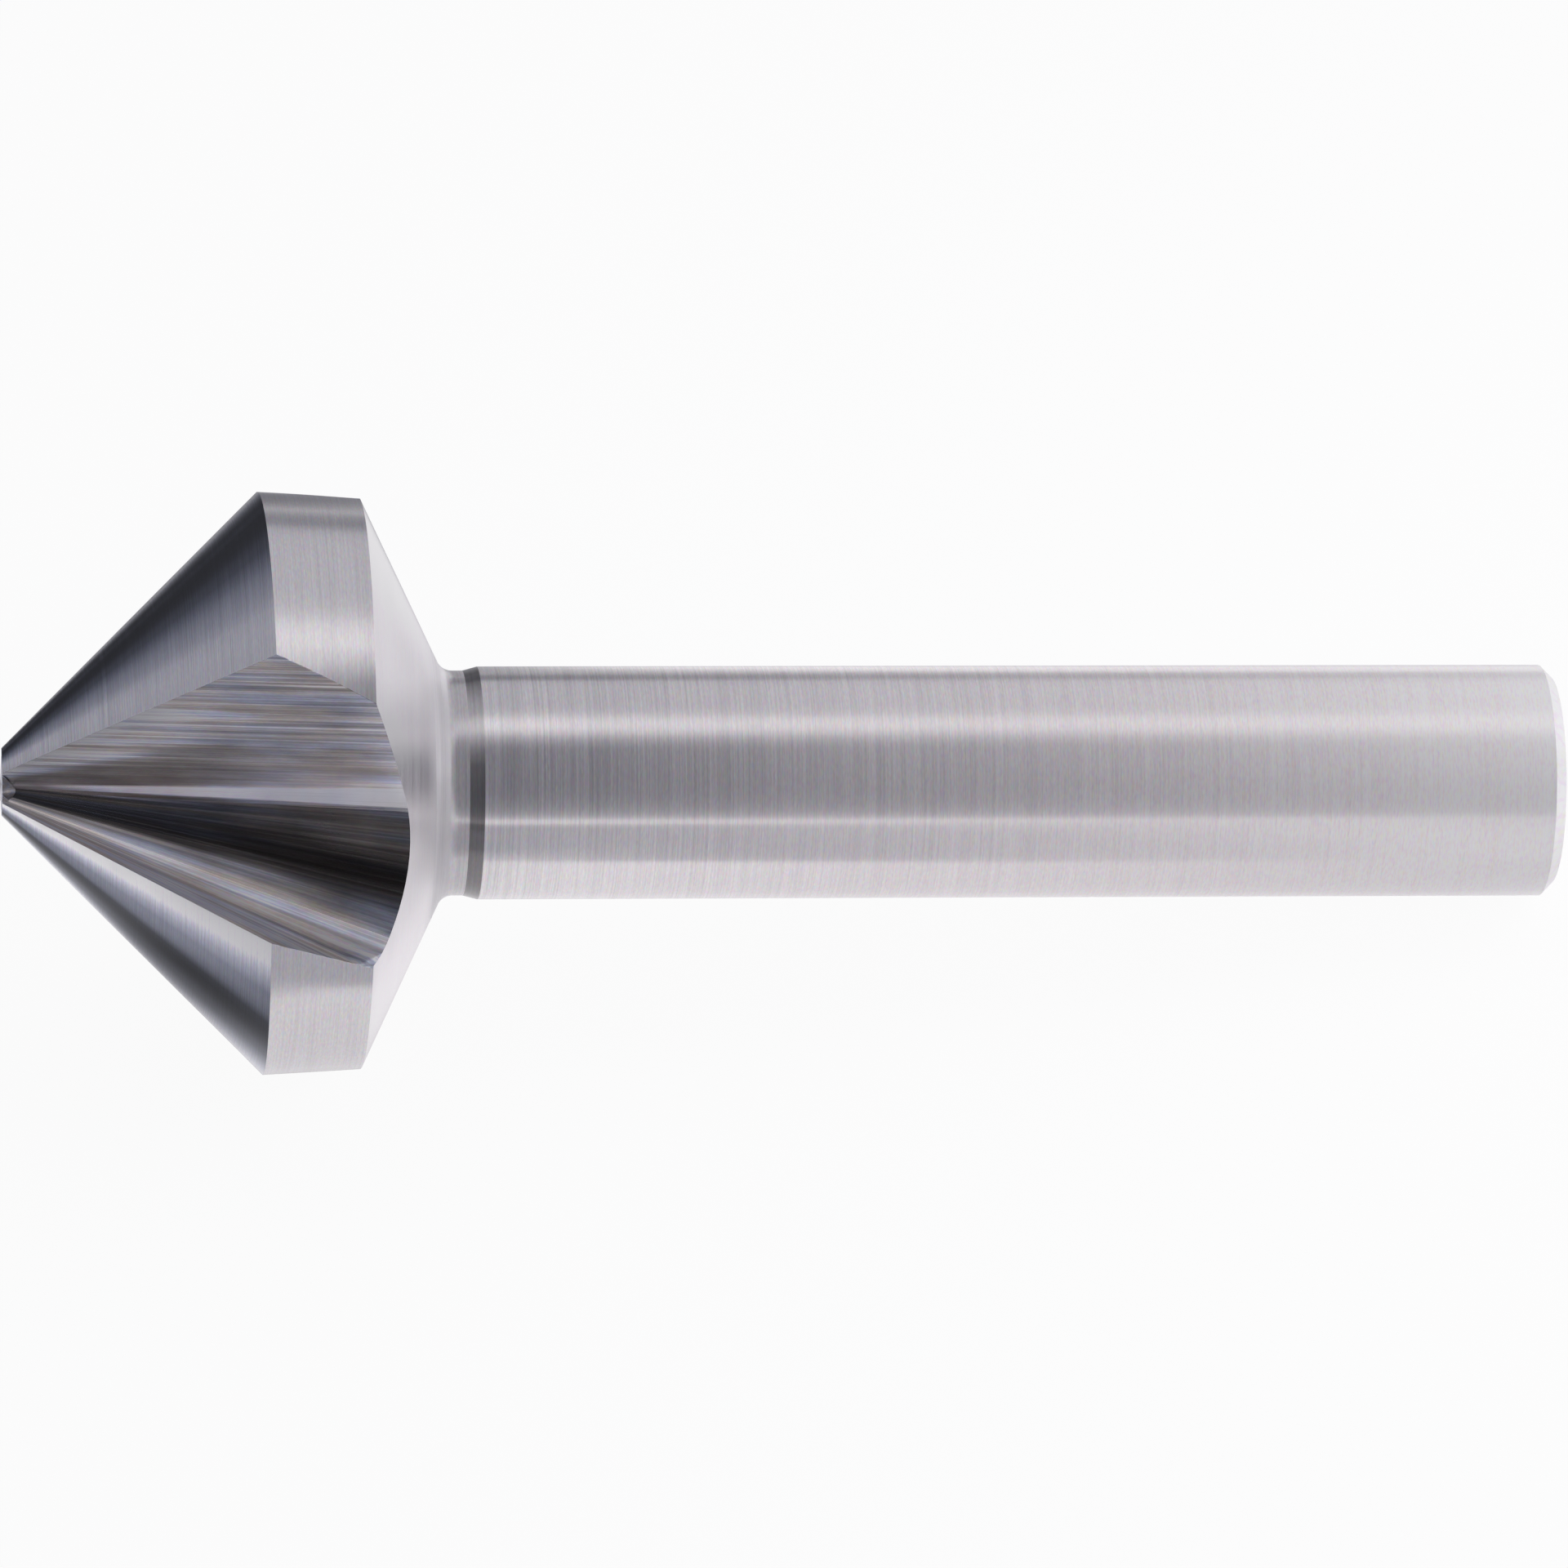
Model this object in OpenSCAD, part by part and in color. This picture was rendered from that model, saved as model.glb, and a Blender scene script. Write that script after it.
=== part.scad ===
// Countersink bit with three chip flutes, a relieved cutting cone and a plain round shank.
// It is ground from one bar of high speed steel, so it is one solid. It lies on a table the way it
// comes to rest: on both sides of one flute and on the rim of its shank.

/* [Head] */
// Diameter over the cutting corners
head_d = 25; // [20:0.5:31]
// Included angle of the cutting cone, in degrees
point_angle = 90; // [80:1:100]
// Diameter of the flat at the tip
tip_d = 3.1; // [2.4:0.1:4]
// Length of the land behind the cutting corners, along the axis
land_len = 4.35; // [3:0.05:6]
// Taper of the land towards the shank, in degrees a side
land_taper = 3.1; // [1:0.1:5]
// Angle between the back of the head and the axis, in degrees
back_angle = 64.5; // [50:0.5:75]

/* [Cutting edges] */
// Angle from the first cutting edge to the second, in degrees
pitch_1 = 118; // [112:1:124]
// Angle from the second cutting edge to the third, in degrees
pitch_2 = 122; // [112:1:124]
// How far the cone drops behind each cutting edge, measured at the heel
relief = 0.21; // [0.1:0.01:0.4]

/* [Flutes] */
// Angle that a flute takes out of the cone, in degrees
flute_opening = 58.6; // [50:0.2:64]
// Angle between the cutting face and the radius, in degrees
rake = 17.5; // [8:0.5:20]
// Angle between the cutting face and the heel wall, in degrees
wall_angle = 66; // [58:0.5:76]
// Half angle of the round root of a flute, in degrees
root_angle = 15.7; // [13:0.1:16.5]
// Turn from the cutting face to the round root, in degrees
face_corner = 42; // [34:0.5:46]
// Half angle of the tighter round that takes up that turn, in degrees
corner_angle = 7; // [5:0.5:9]
// Turn from the heel wall to the round root, in degrees
heel_corner = 5; // [4:0.5:12]
// Diameter of the core that the flutes leave standing at the tip
tip_core_d = 2.4; // [2:0.05:2.6]
// Narrowing of the tip's core away from the tip, in degrees a side
tip_core_taper = 18; // [10:1:25]

/* [Neck and shank] */
// Diameter of the neck behind the head
neck_d = 9.66; // [9:0.02:9.8]
// Length of the neck, from the back of the head to the shoulder
neck_len = 0.9; // [0.8:0.05:2]
// Radius of the fillet between the head and the neck
neck_fillet = 0.75; // [0.3:0.05:0.8]
// Slope of the shoulder up to the shank, in degrees
shoulder_angle = 15; // [10:1:45]
// Diameter of the shank
shank_d = 10; // [10:0.5:13]
// Chamfer on the end of the shank
shank_chamfer = 0.5; // [0.3:0.05:1.2]
// Length from the tip to the end of the shank
total_len = 67; // [56:1:80]

/* [Hidden] */
$fn = 120;

// Heights along the axis, from the tip, and the radii there
cone_slope = tan(point_angle / 2);
apex = tip_d / 2 / cone_slope;
cone_len = (head_d - tip_d) / 2 / cone_slope;
land_z = cone_len + land_len;
function land_r(z) = head_d / 2 - (z - cone_len) * tan(land_taper);
neck_z = land_z + (land_r(land_z) - neck_d / 2) / tan(back_angle);
shoulder_z = neck_z + neck_len;
shank_z = shoulder_z + (shank_d - neck_d) / 2 / tan(shoulder_angle);
rim_z = total_len - shank_chamfer;
end_r = shank_d / 2 - shank_chamfer;

// Polar angle of each cutting edge, and the angle from it to the next
pitches = [pitch_1, pitch_2, 360 - pitch_1 - pitch_2];
edges = [0, pitch_1, pitch_1 + pitch_2];

// The cutters reach this far past the head, and start this far ahead of the tip
reach = 2 * head_d;
run_in = apex / 2;
// Where two lobes' relief cuts overlap inside a flute, in degrees
relief_overlap = 4;
// Angle by which the relief cone's offset trails the cutting edge
relief_lag = 60;

// The walls and the root of a flute all run through the sharp point of the cone, so the flute grows
// in step with the cone. A wall is the plane through that point and a line down the cone at polar
// angle at, and its normal points into the flute, at polar angle dir.
function unit(v) = v / norm(v);
function wall_normal(dir, at) = unit([cos(dir), sin(dir), -cone_slope * cos(at - dir)]);
face_dir = -90 - rake;
heel_dir = 90 - rake - wall_angle;
face_normal = wall_normal(face_dir, 0);
heel_normal = wall_normal(heel_dir, -flute_opening);

// The root and the tighter corner are round cones with the same sharp point. Neither runs dead smooth
// into its neighbour: the corner meets the cutting face and the root at a small turn.
blend_turn = 5;
function steer(u, p, v, q) = let(
    c = u * v,
    across = ((p - q * c) * u + (q - p * c) * v) / (1 - c * c))
    across + sqrt(1 - across * across) * unit(cross(u, v));
face_lift = sin(corner_angle) * cos(blend_turn);
heel_lift = sin(root_angle) * cos(heel_corner);
root_axis = steer(face_normal, sin(root_angle) * cos(face_corner), heel_normal, heel_lift);
corner_axis = steer(face_normal, face_lift, root_axis, cos(root_angle) * cos(corner_angle)
    + sin(root_angle) * sin(corner_angle) * cos(blend_turn));
// The root stops at the plane through both axes. The straight walls stop at the plane through the
// lines where the corner's axis is closest to the one and the root's axis to the other.
root_side = unit(cross(root_axis, corner_axis));
floor_normal = unit(cross(corner_axis - face_lift * face_normal, root_axis - heel_lift * heel_normal));

// Rest pose. The corners of the first flute on the land are given as radius, height and polar angle.
function wall_reach(dir, at, z) = acos(cone_slope * cos(at - dir) * (z + apex) / land_r(z));
land_ends = [cone_len, land_z];
face_corners = [for (z = land_ends) [land_r(z), z, face_dir + wall_reach(face_dir, 0, z)]];
heel_corners = [for (z = land_ends)
    [land_r(z), z, heel_dir - wall_reach(heel_dir, -flute_opening, z)]];
// Lean of the axis, as a slope, and the polar angle that faces down, when the bit lies on the
// corners p and q and on the rim of the shank
function lie_on(p, q) = let(
    from_p = rim_z - p[1],
    from_q = rim_z - q[1],
    a = p[0] * cos(p[2]) / from_p - q[0] * cos(q[2]) / from_q,
    b = p[0] * sin(p[2]) / from_p - q[0] * sin(q[2]) / from_q,
    c = shank_d / 2 * (1 / from_p - 1 / from_q),
    down = atan2(b, a) - acos(c / norm([a, b])))
    [(p[0] * cos(down - p[2]) - shank_d / 2) / from_p, down];
poses = [for (p = face_corners, q = heel_corners) lie_on(p, q)];
steepest = max([for (pose = poses) pose[0]]);
lean = atan(steepest);
down_dir = [for (pose = poses) if (pose[0] == steepest) pose[1]][0];
lift = rim_z * sin(lean) + shank_d / 2 * cos(lean);
mid_x = (total_len * cos(lean) + (end_r - tip_d / 2) * sin(lean)) / 2;

// Outline of the bar before the cone, the flutes and the relief are ground
module blank_outline() {
    toe = neck_fillet * tan(back_angle / 2);
    difference() {
        polygon([
            [0, 0],
            [land_r(0), 0],
            [land_r(land_z), land_z],
            [neck_d / 2 + toe * sin(back_angle), neck_z - toe * cos(back_angle)],
            [neck_d / 2, neck_z + toe],
            [neck_d / 2, shoulder_z],
            [shank_d / 2, shank_z],
            [shank_d / 2, rim_z],
            [end_r, total_len],
            [0, total_len]
        ]);
        translate([neck_d / 2 + neck_fillet, neck_z + toe])
            circle(r = neck_fillet / cos(blend_turn));
    }
}

// What is ground off round one lobe: all that lies outside a cone set slightly off the axis
module relief_cut(i) {
    lobe = pitches[i] - flute_opening;
    offset_r = relief / (cos(relief_lag) - cos(relief_lag + lobe));
    from = edges[i] - flute_opening / 2 - relief_overlap;
    to = from + pitches[i] + 2 * relief_overlap;
    height = cone_len + land_len / 2;
    difference() {
        translate([0, 0, -run_in])
            linear_extrude(height + run_in)
                polygon([[0, 0], for (k = [0:3])
                    let(turn = from + (to - from) * k / 3) head_d * [cos(turn), sin(turn)]]);
        rotate(edges[i] - relief_lag)
            translate([offset_r, 0, offset_r * cos(relief_lag) / cone_slope - apex])
                cylinder(h = reach, r1 = 0, r2 = reach * cone_slope);
    }
}

// All that lies beyond a plane through the origin, on the side that its normal points to
module beyond(normal) {
    rotate([0, -asin(normal.z), atan2(normal.y, normal.x)])
        translate([0, -reach, -reach])
            cube([reach, 2 * reach, 2 * reach]);
}

// A round cone with its sharp point at the origin
module groove(axis, half_angle) {
    rotate([0, acos(axis.z), atan2(axis.y, axis.x)])
        cylinder(h = reach, r1 = 0, r2 = reach * tan(half_angle));
}

// One flute, with its cutting edge at polar angle 0 and the cone's sharp point at the origin
module flute_cut() {
    intersection() {
        beyond(face_normal);
        beyond(heel_normal);
        translate([-reach, -reach, apex - run_in])
            cube(2 * reach);
        union() {
            beyond(floor_normal);
            groove(corner_axis, corner_angle);
            intersection() {
                beyond(root_side);
                groove(root_axis, root_angle);
            }
        }
    }
}

// The bit along its own axis, with its tip at the origin
module ground_bit() {
    difference() {
        rotate_extrude()
            blank_outline();
        for (i = [0:2])
            relief_cut(i);
        for (turn = edges)
            rotate(turn)
                translate([0, 0, -apex])
                    flute_cut();
    }
    cylinder(h = tip_core_d / 2, d1 = tip_core_d, d2 = tip_core_d * (1 - tan(tip_core_taper)));
}

module countersink_bit() {
    color("silver")
        translate([-mid_x, 0, lift])
            rotate([0, 90 + lean, 0])
                rotate(-down_dir)
                    ground_bit();
}

countersink_bit();
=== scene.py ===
import math
from functools import partial
from types import SimpleNamespace

import bmesh
import bpy
from mathutils import Euler, Matrix, Vector

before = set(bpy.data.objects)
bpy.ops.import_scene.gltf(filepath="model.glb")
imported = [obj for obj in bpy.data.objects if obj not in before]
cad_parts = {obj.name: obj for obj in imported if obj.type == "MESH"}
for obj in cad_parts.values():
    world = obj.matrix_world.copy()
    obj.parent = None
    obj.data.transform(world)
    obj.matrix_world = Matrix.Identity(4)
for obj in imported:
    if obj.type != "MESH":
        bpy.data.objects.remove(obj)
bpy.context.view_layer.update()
scene = bpy.context.scene
scene.view_settings.view_transform = "Standard"
print("frame loaded")

# where the bit lies: its tip in mm, and its axis's lean down to the shank and its turn in degrees
pose = dict(tip=(-33.4419, 0, 12.7621), lean=6.73295, turn=22.3857)
bitTurn = (Matrix.Rotation(math.radians(90 + pose["lean"]), 3, "Y")
           @ Matrix.Rotation(math.radians(pose["turn"]), 3, "Z"))
bitAxis = bitTurn @ Vector((0, 0, 1))
bitTip = Vector(pose["tip"]) / 1000


def linear(code):
    # an sRGB hex colour as linear red, green, blue, alpha
    parts = [int(code[i:i + 2], 16) / 255 for i in (1, 3, 5)]
    return [p / 12.92 if p <= 0.04045 else ((p + 0.055) / 1.055) ** 2.4 for p in parts] + [1]


def add(tree, kind, sockets=(), out=0, stops=(), **settings):
    # adds one node with its settings, values and links, and gives one output; stops are a ramp's
    node = tree.nodes.new("ShaderNode" + kind)
    for key, value in settings.items():
        setattr(node, key, value)
    for key, value in sockets.items() if isinstance(sockets, dict) else enumerate(sockets):
        if isinstance(value, bpy.types.NodeSocket):
            tree.links.new(value, node.inputs[key])
        elif value is not None:
            node.inputs[key].default_value = value
    for i, (place, level) in enumerate(stops):
        points = node.color_ramp.elements
        if i == 0:
            points.remove(points[-1])
        point = points[0] if i == 0 else points.new(place)
        point.position = place
        point.color = level if isinstance(level, (list, tuple)) else (level, level, level, 1)
    return node.outputs[out] if len(node.outputs) else None


camera = dict(
    place=(-12.7115, -372.7667, 326.6203),  # mm
    turn=(49.48751, 3.06764, -4.56657),  # degrees
    focal=261.221, sensor=36,
    clip=(0.01, 20),  # metres
)


def addCamera():
    data = bpy.data.cameras.new("camera")
    data.lens = camera["focal"]
    data.sensor_width = camera["sensor"]
    data.clip_start, data.clip_end = camera["clip"]
    cam = bpy.data.objects.new("camera", data)
    cam.location = Vector(camera["place"]) / 1000
    cam.rotation_euler = Euler([math.radians(a) for a in camera["turn"]])
    scene.collection.objects.link(cam)
    scene.camera = cam


addCamera()
print("camera placed")

studio = dict(
    # light round the bit, by degrees from the front horizon over the top to the back one
    overBit=((0, 1.3), (2.2, 1.3), (3.2, 0.46), (15, 0.39), (30, 0.345), (75, 0.35), (80, 0.43),
             (86, 0.58), (90, 0.84), (98, 1.22), (106, 1.18), (114, 0.82), (122, 0.67),
             (163.5, 0.66), (165.5, 0.29), (180, 0.27)),
    # how much of it there is from the tip's side, -1, to the shank's, 1, in front and behind
    alongFront=((-1.0, 0.5), (-0.8, 0.4), (-0.7, 0.15), (-0.6, 0.08), (-0.55, 0.12), (-0.5, 0.6),
                (-0.45, 1.2), (-0.3, 0.95), (-0.2, 0.7), (0, 1.0), (0.35, 0.8), (1.0, 0.85)),
    alongBack=((-1.0, 3.0), (-0.952, 3.0), (-0.943, 0.58), (-0.83, 0.57), (-0.78, 0.5),
               (-0.73, 0.42), (-0.68, 0.7), (-0.4, 0.7), (-0.2, 0.9), (0, 1.0), (0.4, 1.0),
               (1.0, 0.85)),
    frontToBack=(112, 122),  # the one gives way to the other over these degrees
    bright="#fbf9fb", dim="#e2e4f4",  # dim light is a little bluer than bright light
)


def lightOf(level):
    # a light level as a colour
    dim, bright = [linear(studio[key])[:3] for key in ("dim", "bright")]
    return [level * (a + (b - a) * min(level, 1)) for a, b in zip(dim, bright)] + [1]


def addWorld():
    world = bpy.data.worlds.new("studio")
    scene.world = world
    world.use_nodes = True
    world.node_tree.nodes.clear()
    make = partial(add, world.node_tree)
    x, y, z = make("SeparateXYZ", [make("TexCoord", out="Generated")]).node.outputs
    forward = make("Math", [y, -1], operation="MULTIPLY")
    over = make("Math", [make("Math", [z, forward], operation="ARCTAN2")], operation="ABSOLUTE")
    over = make("Math", [over, math.pi], operation="DIVIDE")
    level = make("ValToRGB", [over],
                 stops=[(turn / 180, lightOf(v)) for turn, v in studio["overBit"]])
    sideways = make("MapRange", [x, -1, 1])
    front, behind = [
        make("ValToRGB", [sideways], stops=[((at + 1) / 2, v) for at, v in studio[key]])
        for key in ("alongFront", "alongBack")]
    toBack = make("MapRange", [over, *(turn / 180 for turn in studio["frontToBack"])])
    along = make("Mix", {0: toBack, 6: front, 7: behind}, out=2, data_type="RGBA")
    light = make("VectorMath", [level, along], operation="MULTIPLY")
    make("OutputWorld", {"Surface": make("Background", {"Color": light, "Strength": 1.0})})


# a small softbox past the end of the shank, just outside the picture, in metres and watts
sideBox = dict(size=(0.1, 0.08), place=(0.09, -0.005, 0.05), power=0.037)


def addSideBox():
    lamp = bpy.data.lights.new("side softbox", "AREA")
    lamp.shape = "RECTANGLE"
    lamp.size, lamp.size_y = sideBox["size"]
    lamp.energy = sideBox["power"]
    box = bpy.data.objects.new("side softbox", lamp)
    box.location = sideBox["place"]
    box.rotation_euler = (-box.location).to_track_quat("-Z", "Y").to_euler()
    box.visible_camera = box.visible_glossy = False  # it lights satin faces, and none mirrors it
    scene.collection.objects.link(box)


# White card with a matte coating. The eye sees one even pale ground with a faint soft shadow. The
# bit mirrors it in bands, so the tables say how light it is in the steel. Distances are in mm.
card = dict(
    size=8000, colour="#f2f2f4", glow=0.94,
    # by distance behind the bit
    behind=((20, 0.97), (30, 0.85), (36, 0.72), (44, 0.5), (54, 0.35), (64, 0.3), (400, 0.3)),
    behindShank=((-20, 1.0), (-14, 2.3)),  # the shank is lower than the head, so it starts nearer
    # times these levels by place along the row, which come in over the distances of leftFrom
    behindLeft=((-250, 3.0), (-180, 1.0), (-120, 0.4), (-86, 0.28), (-56, 0.06), (-44, 0.1),
                (-36, 0.36), (-29, 0.5), (-18, 0.85), (5, 1.0)),
    leftFrom=(12, 34),
    # and these behind the head, which fade out over the distances of headUpTo
    besideHead=((-27, 1.0), (-23, 0.84), (-18, 0.84), (-15, 1.0)),
    headUpTo=(10, 20),
    # by place along the row in front of the bit, and how far from it that part starts
    inFront=((-50, 0.02), (-48, 0.25), (-46, 0.5), (-44, 0.56), (-42, 0.5), (-40, 0.47),
             (-38, 0.55), (-36, 0.68), (-30, 0.5), (-24, 0.5), (-20, 0.56), (-12, 0.6),
             (-5, 0.62), (4, 0.66), (22, 0.92), (32, 1.3)),
    frontEdge=((-60, 13), (-34, 13), (-27, 20), (-22, 21.2), (-17, 21.2), (-12, 14.8), (8, 11.8),
               (31, 9.4)),
    edgeBlur=0.4,
    # by distance behind the shank, past an edge in the row that slants away from the tip
    besideShank=((-10, 1.1), (1, 1.0), (7, 0.7), (18, 0.66), (27, 0.85), (35, 1.05), (80, 1.0)),
    shankEdge=(-20, -9), shankSlant=0.12,
    # the shadow under the tip: its middle, half widths and level, and how much of it is dark core
    tipShadow=(-31, -4), tipShadowSize=(6.5, 10), tipShadowLevel=0.4, tipShadowCore=0.35,
)


def addFloor():
    mesh = bpy.data.meshes.new("floor")
    bm = bmesh.new()
    bmesh.ops.create_grid(bm, x_segments=1, y_segments=1, size=card["size"] / 2000)
    bm.to_mesh(mesh)
    bm.free()
    floor = bpy.data.objects.new("floor", mesh)
    scene.collection.objects.link(floor)
    paint = bpy.data.materials.new("matte white card")
    paint.use_nodes = True
    paint.node_tree.nodes.clear()
    make = partial(add, paint.node_tree)
    at = make("VectorMath", {0: make("TexCoord", out="Object"), "Scale": 1000}, operation="SCALE")
    x, y, _ = make("SeparateXYZ", [at]).node.outputs

    def graded(value, key, light=False):
        # a level from one of the card's tables, at a distance in mm
        stops = card[key]
        low, high = stops[0][0], stops[-1][0]
        top = 1 if light else max(v for d, v in stops)
        points = [((d - low) / (high - low), lightOf(v) if light else v / top) for d, v in stops]
        level = make("ValToRGB", [make("MapRange", [value, low, high])], stops=points)
        return level if light else make("Math", [level, top], operation="MULTIPLY")

    # the card behind the bit
    awayBehind = make("Math", [y, graded(x, "behindShank")], operation="MULTIPLY")
    toLeft = make("Mix", [make("MapRange", [y, *card["leftFrom"]]), None, 1.0,
                          graded(x, "behindLeft")])
    beside = make("Mix", [make("MapRange", [y, *card["headUpTo"]]), None,
                          graded(x, "besideHead"), 1.0])
    toLeft = make("Math", [toLeft, beside], operation="MULTIPLY")
    back = make("VectorMath", {0: graded(awayBehind, "behind", light=True), "Scale": toLeft},
                operation="SCALE")
    slanted = make("Math", [make("Math", [y, 0], operation="MAXIMUM"), -card["shankSlant"], x],
                   operation="MULTIPLY_ADD")
    onRight = make("MapRange", [slanted, *card["shankEdge"]])
    back = make("Mix", {0: onRight, 6: back, 7: graded(y, "besideShank", light=True)},
                out=2, data_type="RGBA")
    # the shadow under the tip
    spread = [1 / width for width in card["tipShadowSize"]]
    middle = [c * s for c, s in zip(card["tipShadow"], spread)]
    fromTip = make("VectorMath", [at, (*spread, 0)], operation="MULTIPLY")
    fromTip = make("VectorMath", [fromTip, (*middle, 0)], out="Value", operation="DISTANCE")
    lightTip = make("MapRange", [fromTip, card["tipShadowCore"], 1.0, card["tipShadowLevel"], 1.0])
    back = make("VectorMath", {0: back, "Scale": lightTip}, operation="SCALE")
    # the card in front of the bit
    edge = make("Math", [y, graded(x, "frontEdge")], operation="ADD")
    edge = make("MapRange", [edge, card["edgeBlur"], -card["edgeBlur"]])
    level = make("Mix", {0: edge, 6: back, 7: graded(x, "inFront", light=True)},
                 out=2, data_type="RGBA")

    # the camera and glass see the card evenly lit, metal sees its bands, and its own paint keeps
    # the bit's shadow
    seen, glossy, clear = [make("LightPath", out=ray) for ray in
                           ("Is Camera Ray", "Is Glossy Ray", "Is Transmission Ray")]
    plain = make("Math", [seen, clear], operation="MAXIMUM")
    colour = make("Mix", {0: plain, 6: level, 7: (1, 1, 1, 1)}, out=2, data_type="RGBA")
    share = make("Math", [plain, glossy], operation="MAXIMUM")
    share = make("Math", [share, card["glow"]], operation="MULTIPLY")
    glow = make("Emission", {"Color": colour, "Strength": 1.0})
    lit = make("BsdfDiffuse", {"Color": linear(card["colour"])})
    make("OutputMaterial", {"Surface": make("MixShader", [share, lit, glow])})
    mesh.materials.append(paint)


addWorld()
addSideBox()
addFloor()
print("studio lit")

# High speed steel, ground all over and left bare. The eye sees fine grinding lines round the bit
# and rougher ones that run down each flute, and the lines stretch every light and dark band across
# them. Lengths are in mm, and those along the bit start at its tip.
steel = dict(
    # plain steel, the bluer colour of painted shade, the warmer colour painted toward the shank
    # end, and a flute's cool and warm tints
    colour="#dddadd", paintedShadeColour="#c6ceea", paintedEndColour="#e0d9da", cool="#d3d6e8", warm="#dfd6d2",
    rough=0.3, fluteRough=0.12, roughVary=0.06, anisotropy=1.0, bumpStrength=0.25, bumpDepth=0.004,
    outwardShare=5.0, lightest=0.93, darkest=0.03,

    # the bit as the part has it
    backEnd=18.04, filletStart=18.2, filletEnd=18.9, shoulder=19.746, shank=20.3805, length=67,
    sharpPoint=1.55,  # from the flat tip back to where the cone would end in a point
    edges=(0, 118, 240),  # polar angle of each cutting edge
    faceNormal=(-0.2880, -0.9133, 0.2880), heelNormal=(0.9157, 0.1043, -0.3880),
    heelStroke=(0.4018, -0.2193, 0.8891),  # the way the wheel ran on the heel wall
    rootAxis=(0.6337, -0.1830, 0.7516), cornerAxis=(0.5758, -0.0573, 0.8156),
    # how far faces look towards the shank, as a cosine: the cone less than the second, the back of
    # the head more than the third, and a flute between the first and the third
    looks=(-0.55, -0.5, 0.5),
    slack=0.03,  # a point this far off a wall's plane still counts as on it

    # Lines: their width, how far one runs, and their detail. Real ones are 0.01 to 0.02 wide, and
    # these are wide enough to show in a picture 1920 pixels wide. A flute's fan out from the tip
    # and have their width at fanAt from it.
    fineLine=(0.07, 9.0, 1), grain=(0.06, 0.3, 1), broadLine=(0.5, 9.0, 2), streak=(0.15, 30.0, 3),
    patch=(1.0, 5.0, 2), tint=(0.6, 7.0, 2), fanAt=12,
    # how strongly they show on each kind of face
    lines=dict(land=0.4, cone=0.75, back=0.08, neck=0.5, shoulder=0.5, shank=0.7, flute=0.9,
               cutter=0.9),
    broadStrength=0.1, patchStrength=1.4, speckle=0.45, backSpeckle=0.1,
    streakLevels=((0, 0.45), (0.36, 0.6), (0.48, 0.9), (0.56, 1.1), (0.66, 1.6), (1, 2.2)),
    # the streaks are bold high on the heel wall, by degrees from the crease, and soft near it
    fluteBold=0.75, heelBoldOver=(2.5, 16.25), heelBold=(0.3, 1.15),

    # haze is the share of light that the surface scatters all round: toward the shank end, on a
    # satin fillet, and far out in a flute's root, by distance from the point and degrees of rise.
    # Toward the shank end the colour is painted lighter, and past the fillet the neck is painted
    # darker.
    wornFrom=21.3805, wornPower=0.75, wornLines=0.2, paintedEndLight=1.3, endHaze=0.82,
    filletHaze=0.45, filletFade=(0.4, 0.3), neckHaze=0.3, neckFade=0.4, neckShade=0.84,
    backHaze=0.12, rootHaze=0.55, outerRoot=(15.2, 18.5), outerRise=(-8.5, -6.5), burr=0.4,

    # Painted shade and light, standing in for reflections: how light the steel is. On each lobe
    # of the cone, by degrees behind its cutting edge
    paintedLobeBands=((0, 1.5), (5, 1.42), (7, 1.08), (9.5, 0.74), (13, 0.43), (16, 0.36), (19, 0.28),
             (22, 0.09), (25, 0.06), (28, 0.07), (30, 0.1), (33, 0.17), (36, 0.22), (40, 0.4),
             (44, 0.62), (48, 0.82), (53, 1.1), (58, 1.15), (65, 1.15)),
    plainAt=1.6, landShade=1.07,  # the colour is plain steel at the first of these levels
    # painted shade and light on the heel wall, by degrees from the crease at its foot: at the
    # tip, near it and far from it
    heelTip=((0, 0.42), (9, 0.42), (13, 0.9), (17, 1.2), (25, 1.4)),
    heelNear=((0, 1.5), (1.0, 1.4), (1.8, 0.34), (6, 0.34), (9, 0.36), (11, 0.5), (13.5, 1.05),
              (17, 1.2), (20, 1.2), (25, 1.6)),
    heelFar=((0, 1.5), (0.9, 1.6), (1.5, 0.9), (3.2, 0.6), (5, 0.6), (8, 0.66), (10, 0.66),
             (17, 0.85), (25, 1.1)),
    # the wall's painted shade passes from tip to near to far over the first two spans, and is
    # painted lighter near the rim
    tipToNear=(3.5, 7), nearToFar=(10, 15), heelRim=(14, 17), heelRimShade=1.6,
    tintOver=(0.42, 0.58), coolWall=(0.4, 0.7),  # the wall turns bluish between these levels
    # painted reflection rings on the back of the head and the shoulder, by degrees round the bit
    backRing=((0, 1.2), (118, 1.3), (142, 1.4), (154, 1.4), (167, 1.3), (175, 1.28), (181, 1.28),
              (190, 1.3), (195, 1.35), (199, 1.4), (203, 1.38), (208, 1.25), (220, 1.1),
              (235, 1.15), (246, 1.24), (258, 1.3), (270, 1.32), (298, 1.22), (360, 1.2)),
    # the back is painted darker inward, over these radii
    backInner=(6, 11), backInnerShade=0.9,
    shoulderRing=((0, 0.36), (148, 0.36), (165, 0.75), (188, 0.85), (199, 0.4), (207, 0.36),
                  (360, 0.36)),
    # and painted light on the cutting face and painted shade in the root, which darkens away from
    # the tip
    cutterShade=1.15, rootShade=(0.52, 0.4), rootFade=(13, 18),
)


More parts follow.
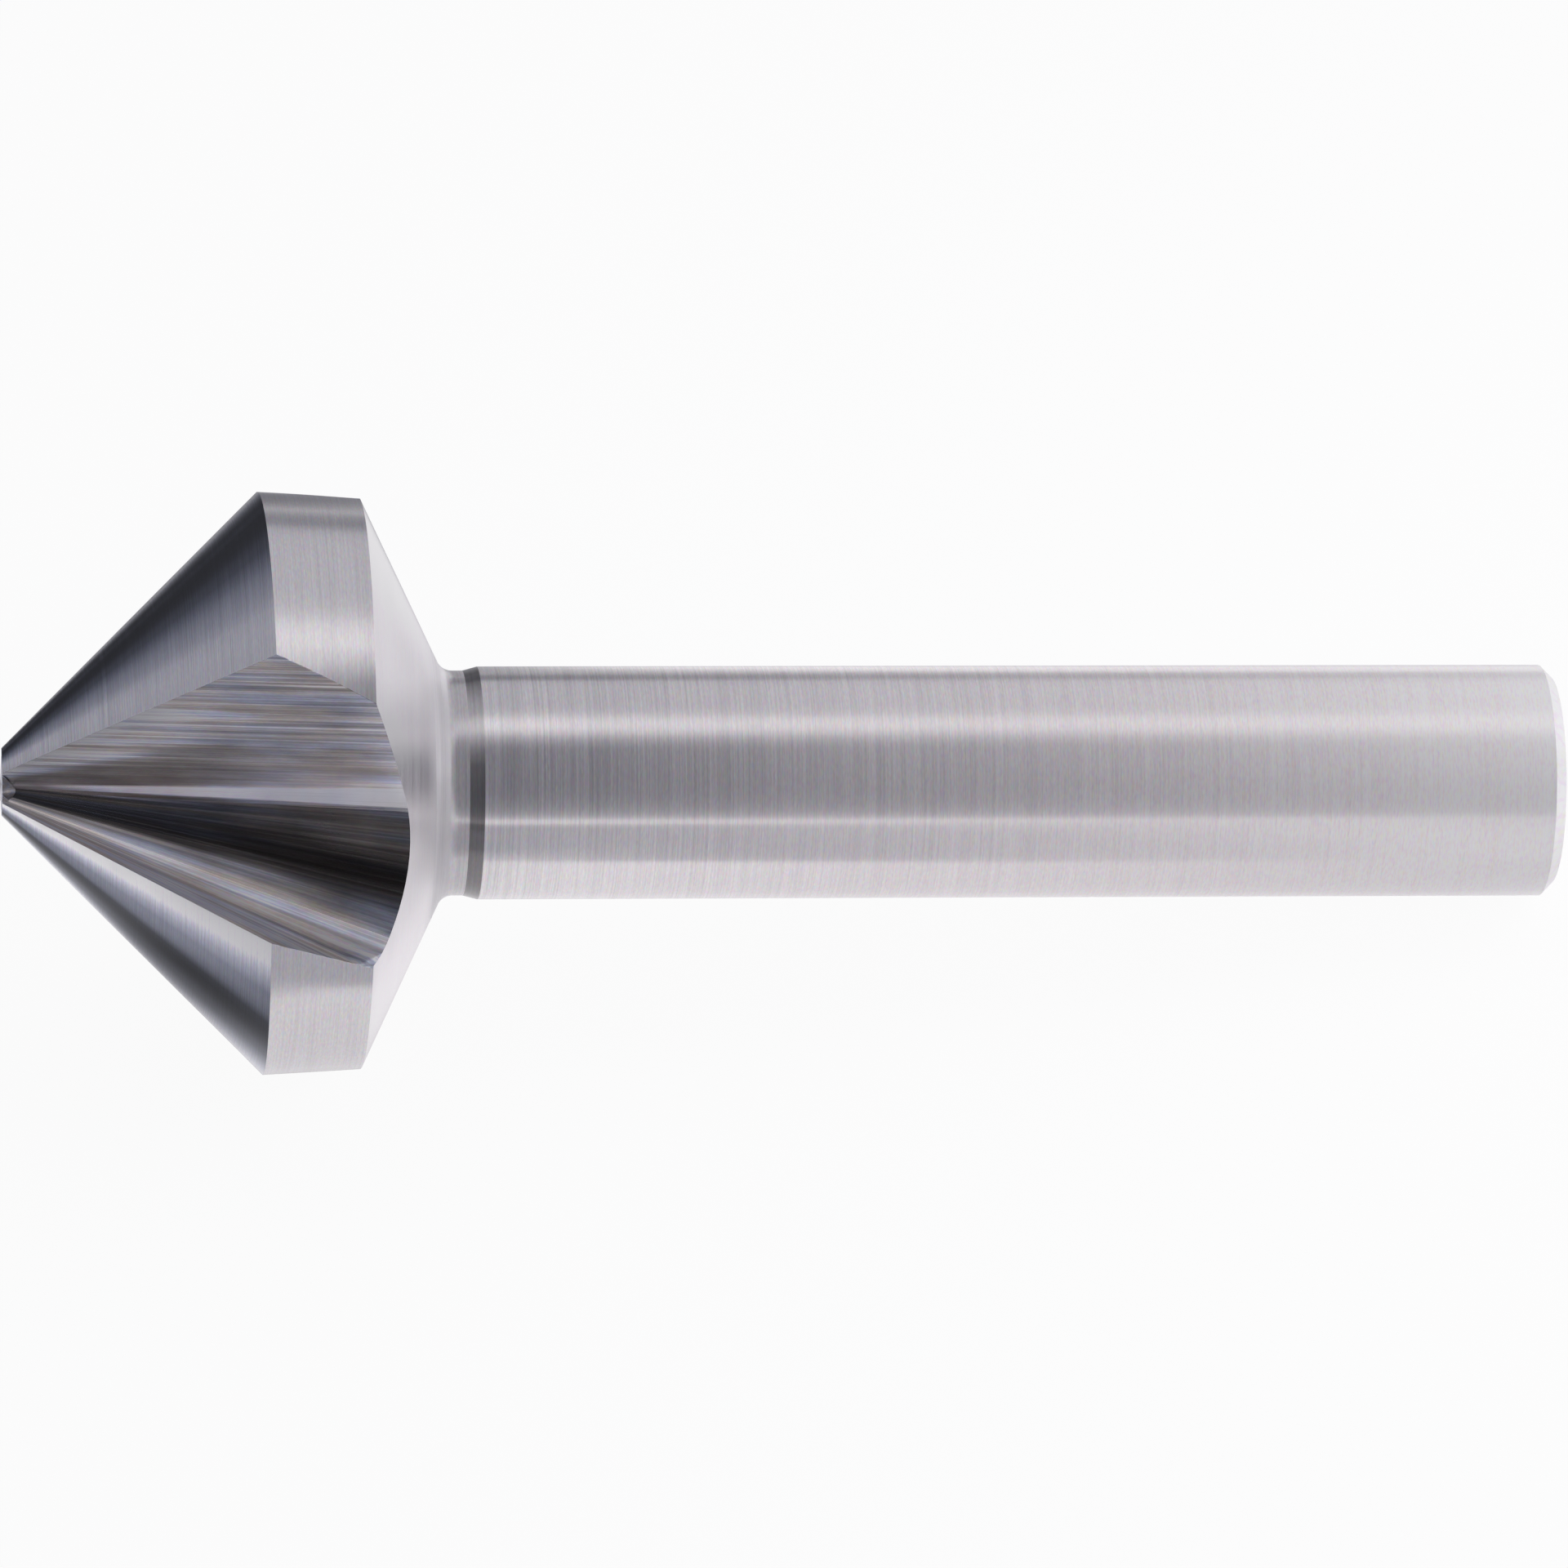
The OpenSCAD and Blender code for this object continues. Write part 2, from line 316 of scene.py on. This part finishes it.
def placeOnBit(make):
    # a point's place in the bit's own frame, in mm from its tip, and the way its face looks
    row = make("TexCoord", out="Object")
    facing = make("NewGeometry", out="Normal")
    place = make("Mapping", {"Vector": row, "Location": bitTip, "Rotation": bitTurn.to_euler(),
                             "Scale": (0.001,) * 3}, vector_type="TEXTURE")
    x, y, along = make("SeparateXYZ", [place]).node.outputs
    across = make("VectorMath", [place, (1, 1, 0)], operation="MULTIPLY")
    radius = make("VectorMath", [across], out="Value", operation="LENGTH")
    polar = make("Math", [make("Math", [y, x], operation="ARCTAN2")], operation="DEGREES")
    polar = make("Math", [polar, 360], operation="FLOORED_MODULO")
    endways = make("VectorMath", [facing, bitAxis], out="Value", operation="DOT_PRODUCT")
    return SimpleNamespace(row=row, facing=facing, place=place, along=along, radius=radius,
                           polar=polar, endways=endways)


def findFlute(make, on):
    # which flute a point is in, and its place from the cone's sharp point, with that flute's
    # cutting edge turned to 0 degrees
    places, strokes, inside = [], [], []
    for edge in steel["edges"]:
        turned = make("VectorRotate", {"Vector": on.place, "Angle": math.radians(-edge)},
                      rotation_type="Z_AXIS")
        place = make("VectorMath", [turned, (0, 0, steel["sharpPoint"])], operation="ADD")
        walls = [make("VectorMath", [place, steel[wall]], out="Value", operation="DOT_PRODUCT")
                 for wall in ("faceNormal", "heelNormal")]
        within = make("Math", [make("Math", walls, operation="MINIMUM"), -steel["slack"]],
                      operation="GREATER_THAN")
        edgeTurn = bitTurn @ Matrix.Rotation(math.radians(edge), 3, "Z")
        stroke = edgeTurn @ Vector(steel["heelStroke"])
        places.append(make("VectorMath", {0: place, "Scale": within}, operation="SCALE"))
        strokes.append(make("VectorMath", {0: stroke, "Scale": within}, operation="SCALE"))
        inside.append(within)
    place, stroke = [make("VectorMath", [make("VectorMath", found[:2], operation="ADD"), found[2]],
                          operation="ADD") for found in (places, strokes)]
    within = make("Math", [make("Math", inside[:2], operation="ADD"), inside[2]], operation="ADD")
    least, _, most = steel["looks"]
    steep = make("Math", [on.endways, (least + most) / 2, (most - least) / 2],
                 operation="COMPARE")
    inHead = make("Math", [on.along, steel["backEnd"]], operation="LESS_THAN")
    flute = make("Math", [within, make("Math", [steep, inHead], operation="MULTIPLY")],
                 operation="MULTIPLY")

    # its heel wall, the distance from the point, the rise in degrees from the crease at the foot
    # of that wall, and its cutting face with the tight corner
    fromHeel = make("VectorMath", [place, steel["heelNormal"]], out="Value",
                    operation="DOT_PRODUCT")
    heel = make("Math", [fromHeel, 0.0, steel["slack"]], operation="COMPARE")
    heel = make("Math", [flute, heel], operation="MULTIPLY")
    upward = Vector(steel["heelNormal"]).cross(Vector(steel["heelStroke"])).normalized()
    upHeel = make("VectorMath", [place, upward], out="Value", operation="DOT_PRODUCT")
    away = make("VectorMath", [place], out="Value", operation="LENGTH")
    rise = make("Math", [make("Math", [upHeel, away], operation="DIVIDE")], operation="ARCSINE")
    rise = make("Math", [rise], operation="DEGREES")
    rootSide = Vector(steel["rootAxis"]).cross(Vector(steel["cornerAxis"]))
    pastRoot = make("VectorMath", [place, rootSide], out="Value", operation="DOT_PRODUCT")
    cutter = make("Math", [flute, make("Math", [pastRoot, 0.0], operation="LESS_THAN")],
                  operation="MULTIPLY")
    return SimpleNamespace(place=place, stroke=stroke, flute=flute, heel=heel, cutter=cutter,
                           upHeel=upHeel, away=away, rise=rise)


def groundLines(make, on, groove, key, out=0):
    # grinding lines: round the bit, along the heel wall, and fanning from the tip in a flute
    width, run, detail = steel[key]
    profile = make("Math", [on.along, on.radius], operation="ADD")
    profile = make("CombineXYZ", {2: make("Math", [profile, width], operation="DIVIDE")})
    turnedAt = make("VectorMath", [on.place, (1 / run, 1 / run, 0)], operation="MULTIPLY")
    turnedAt = make("VectorMath", [turnedAt, profile], operation="ADD")
    heelAt = make("CombineXYZ", [make("Math", [groove.upHeel, width], operation="DIVIDE")])
    fan = make("VectorMath", [groove.place], operation="NORMALIZE")
    fanAt = make("VectorMath", {0: fan, "Scale": steel["fanAt"] / width}, operation="SCALE")
    fluteAt = make("Mix", {0: groove.heel, 4: fanAt, 5: heelAt}, out=1, data_type="VECTOR")
    at = make("Mix", {0: groove.flute, 4: turnedAt, 5: fluteAt}, out=1, data_type="VECTOR")
    drift = make("Math", [groove.away, run], operation="DIVIDE")
    return make("TexNoise", {"Vector": at, "W": drift, "Scale": 1.0, "Detail": detail,
                             "Roughness": 0.6}, out=out, noise_dimensions="4D")


def scattered(make, on, groove, turned):
    # the haze, added up from each place that has some
    start, end = steel["filletStart"], steel["filletEnd"]
    before, after = steel["filletFade"]
    fillet = make("Math", [make("MapRange", [on.along, start - before, start]),
                           make("MapRange", [on.along, end, end + after])],
                  operation="SUBTRACT", use_clamp=True)
    onNeck = make("Math", [turned.neck, turned.shoulder], operation="SUBTRACT")
    outerRoot = make("Math", [make("MapRange", [groove.away, *steel["outerRoot"]]),
                              make("MapRange", [groove.rise, *steel["outerRise"]])],
                     operation="MULTIPLY")
    offHeel = make("Math", [groove.flute, groove.heel], operation="SUBTRACT")
    outerRoot = make("Math", [outerRoot, offHeel], operation="MULTIPLY")
    haze = make("Math", [turned.worn, steel["endHaze"]], operation="MULTIPLY")
    for part, key in ((fillet, "filletHaze"), (turned.back, "backHaze"), (onNeck, "neckHaze"),
                      (outerRoot, "rootHaze")):
        haze = make("Math", [part, steel[key], haze], operation="MULTIPLY_ADD")
    return haze


def addSteel():
    finish = bpy.data.materials.new("ground high speed steel")
    finish.use_nodes = True
    finish.node_tree.nodes.clear()
    make = partial(add, finish.node_tree)
    on = placeOnBit(make)
    groove = findFlute(make, on)
    flute, heel, cutter, away = groove.flute, groove.heel, groove.cutter, groove.away

    # the faces that are turned and ground round the bit
    _, coneLooks, backLooks = steel["looks"]
    cone = make("Math", [on.endways, coneLooks], operation="LESS_THAN")
    neck, shoulder, shank = [make("Math", [on.along, steel[key]], operation="GREATER_THAN")
                             for key in ("filletStart", "shoulder", "shank")]
    back = make("Math", [on.endways, backLooks], operation="GREATER_THAN")
    back = make("Math", [back, shank], operation="SUBTRACT", use_clamp=True)
    # toward the shank end, where the colour is painted lighter and warmer, with more haze and
    # fainter lines
    worn = make("MapRange", [on.along, steel["wornFrom"], steel["length"]])
    worn = make("Math", [worn, steel["wornPower"]], operation="POWER")
    haze = scattered(make, on, groove,
                     SimpleNamespace(back=back, neck=neck, shoulder=shoulder, worn=worn))

    lines = partial(groundLines, make, on, groove)
    fine = make("Math", [lines("fineLine"), 0.5], operation="SUBTRACT")
    fine = make("Math", [fine, make("MapRange", [worn, 0, 1, 1.0, steel["wornLines"]])],
                operation="MULTIPLY")
    grain = make("VectorMath", [lines("grain", out=1), (0.5,) * 3], operation="SUBTRACT")
    broad = make("Math", [lines("broadLine"), 0.5], operation="SUBTRACT")

    def levelAt(value, key):
        # how light the steel is at a place in one of its tables
        span = steel[key][-1][0]
        if span != 1:
            value = make("Math", [value, span], operation="DIVIDE")
        return make("ValToRGB", [value], stops=[(at / span, level) for at, level in steel[key]])

    # how light the steel is: painted shade and reflection bands on the turned faces
    fromEdge = on.polar
    for before, edge in zip(steel["edges"], steel["edges"][1:]):
        passed = make("Math", [on.polar, edge], operation="GREATER_THAN")
        fromEdge = make("Math", [passed, before - edge, fromEdge], operation="MULTIPLY_ADD")
    # painted reflection bands on each lobe of the cone, by degrees behind its cutting edge
    lobe = levelAt(fromEdge, "paintedLobeBands")
    onLobe = make("Math", [cone, flute], operation="SUBTRACT", use_clamp=True)
    shade = make("Mix", [onLobe, None, steel["landShade"], lobe])
    # painted reflection on the back of the head: lighter and darker round the bit, and darker
    # inward
    inward = make("MapRange", [on.radius, *steel["backInner"], steel["backInnerShade"], 1.0])
    onBack = make("Math", [levelAt(on.polar, "backRing"), inward], operation="MULTIPLY")
    shade = make("Mix", [back, None, shade, onBack])
    # painted shade: past the fillet the neck is darker
    pastFillet = make("MapRange", [on.along, steel["filletEnd"],
                                   steel["filletEnd"] + steel["neckFade"]])
    shade = make("Mix", [pastFillet, None, shade, steel["neckShade"]])
    # painted highlight and shade on the shoulder, by angle round the bit
    shade = make("Mix", [shoulder, None, shade, levelAt(on.polar, "shoulderRing")])
    # painted light: the shank is lighter toward its end
    onShank = make("MapRange", [worn, 0, 1, 1.0, steel["paintedEndLight"]])
    shade = make("Mix", [shank, None, shade, onShank])

    # painted light and shade in a flute, with its streaks and patches
    rise = make("Math", [groove.rise], operation="ABSOLUTE")
    # painted shade and light on the heel wall
    tipWall, nearWall, farWall = [levelAt(rise, key) for key in ("heelTip", "heelNear", "heelFar")]
    wall = make("Mix", [make("MapRange", [away, *steel["nearToFar"]]), None, nearWall, farWall])
    wall = make("Mix", [make("MapRange", [away, *steel["tipToNear"]]), None, tipWall, wall])
    rim = make("MapRange", [on.along, *steel["heelRim"], 1.0, steel["heelRimShade"]])
    wall = make("Math", [wall, rim], operation="MULTIPLY")
    # painted shade in the root, darker away from the tip, and painted light on the cutting face
    root = make("MapRange", [away, *steel["rootFade"], *steel["rootShade"]])
    inFlute = make("Mix", [cutter, None, root, steel["cutterShade"]])
    inFlute = make("Mix", [heel, None, inFlute, wall])
    heelBold = make("MapRange", [rise, *steel["heelBoldOver"], *steel["heelBold"]])
    bold = make("Mix", [heel, None, steel["fluteBold"], heelBold])
    streaky = make("Mix", {0: bold, 2: 1.0, 3: levelAt(lines("streak"), "streakLevels")},
                   clamp_factor=False)
    patchy = make("Math", [make("Math", [lines("patch"), 0.5], operation="SUBTRACT"),
                           steel["patchStrength"], 1.0], operation="MULTIPLY_ADD")
    for pattern in (streaky, patchy):
        inFlute = make("Math", [inFlute, pattern], operation="MULTIPLY")
    shade = make("Mix", [flute, None, shade, inFlute])

    # the lines lighten and darken all of it
    strength = steel["lines"]["land"]
    for face, name in ((cone, "cone"), (back, "back"), (neck, "neck"), (shoulder, "shoulder"),
                       (shank, "shank"), (flute, "flute"), (cutter, "cutter")):
        strength = make("Mix", [face, None, strength, steel["lines"][name]])
    for pattern, depth in ((fine, strength), (broad, steel["broadStrength"])):
        pattern = make("Math", [pattern, depth, 1.0], operation="MULTIPLY_ADD")
        shade = make("Math", [shade, pattern], operation="MULTIPLY")
    shade = make("Math", [shade, steel["darkest"]], operation="MAXIMUM")

    # the colour is bluer in the darker painted shade, warmer toward the shank end where it is
    # painted lighter, and drifts from brownish to bluish in a flute
    plain, inPaintedShade, end, cool, warm = [linear(steel[key]) for key in (
        "colour", "paintedShadeColour", "paintedEndColour", "cool", "warm")]
    onShank = make("Mix", {0: worn, 6: plain, 7: end}, out=2, data_type="RGBA")
    onTurned = make("Mix", {0: make("MapRange", [lobe, 0, steel["plainAt"]]), 6: inPaintedShade,
                            7: plain}, out=2, data_type="RGBA")
    onTurned = make("Mix", {0: onLobe, 6: onShank, 7: onTurned}, out=2, data_type="RGBA")
    coolness = make("MapRange", [lines("tint"), *steel["tintOver"]])
    coolWall = make("Mix", [heel, None, 1.0, make("MapRange", [wall, *steel["coolWall"]])])
    coolness = make("Math", [coolness, coolWall], operation="MULTIPLY")
    inGroove = make("Mix", {0: coolness, 6: warm, 7: cool}, out=2, data_type="RGBA")
    colour = make("Mix", {0: flute, 6: onTurned, 7: inGroove}, out=2, data_type="RGBA")
    colour = make("VectorMath", {0: colour, "Scale": shade}, operation="SCALE")
    depth = make("Mix", [back, None, steel["speckle"], steel["backSpeckle"]])
    speckle = make("VectorMath", [grain, depth, (1.0,) * 3], operation="MULTIPLY_ADD")
    colour = make("VectorMath", [colour, speckle], operation="MULTIPLY")
    colour = make("VectorMath", [colour, (steel["lightest"],) * 3], operation="MINIMUM")

    # a flute is the glossiest, apart from its cutting face
    glossy = make("Math", [flute, cutter], operation="SUBTRACT")
    rough = make("Mix", [glossy, None, steel["rough"], steel["fluteRough"]])
    rough = make("Math", [fine, steel["roughVary"], rough], operation="MULTIPLY_ADD")
    burr = make("Math", [fine, steel["burr"]], operation="MULTIPLY")
    burr = make("Math", [burr, haze], operation="ADD", use_clamp=True)
    metallic = make("Math", [1.0, burr], operation="SUBTRACT")
    grooves = make("Bump", {"Height": fine, "Strength": steel["bumpStrength"],
                            "Distance": steel["bumpDepth"] / 1000})

    # The lines stretch a highlight across themselves. The flat end of the shank looks along the
    # axis, so the direction also has a little of the way out from it.
    outward = make("VectorMath", [on.row, bitTip], operation="SUBTRACT")
    acrossRound = make("VectorMath", [outward, (steel["outwardShare"],) * 3, bitAxis],
                       operation="MULTIPLY_ADD")
    sharp = bitTip - bitAxis * steel["sharpPoint"] / 1000
    fromSharp = make("VectorMath", [make("VectorMath", [on.row, sharp], operation="SUBTRACT")],
                     operation="NORMALIZE")
    downFlute = make("Mix", {0: heel, 4: fromSharp, 5: groove.stroke}, out=1, data_type="VECTOR")
    acrossFlute = make("VectorMath", [on.facing, downFlute], operation="CROSS_PRODUCT")
    tangent = make("Mix", {0: flute, 4: acrossRound, 5: acrossFlute}, out=1, data_type="VECTOR")

    metal = make("BsdfPrincipled", {
        "Base Color": colour, "Metallic": metallic, "Roughness": rough,
        "Anisotropic": steel["anisotropy"], "Tangent": tangent, "Normal": grooves})
    make("OutputMaterial", {"Surface": metal})
    return finish


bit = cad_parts["countersink_bit"]
bit.material_slots[0].material = addSteel()
print("steel finished")
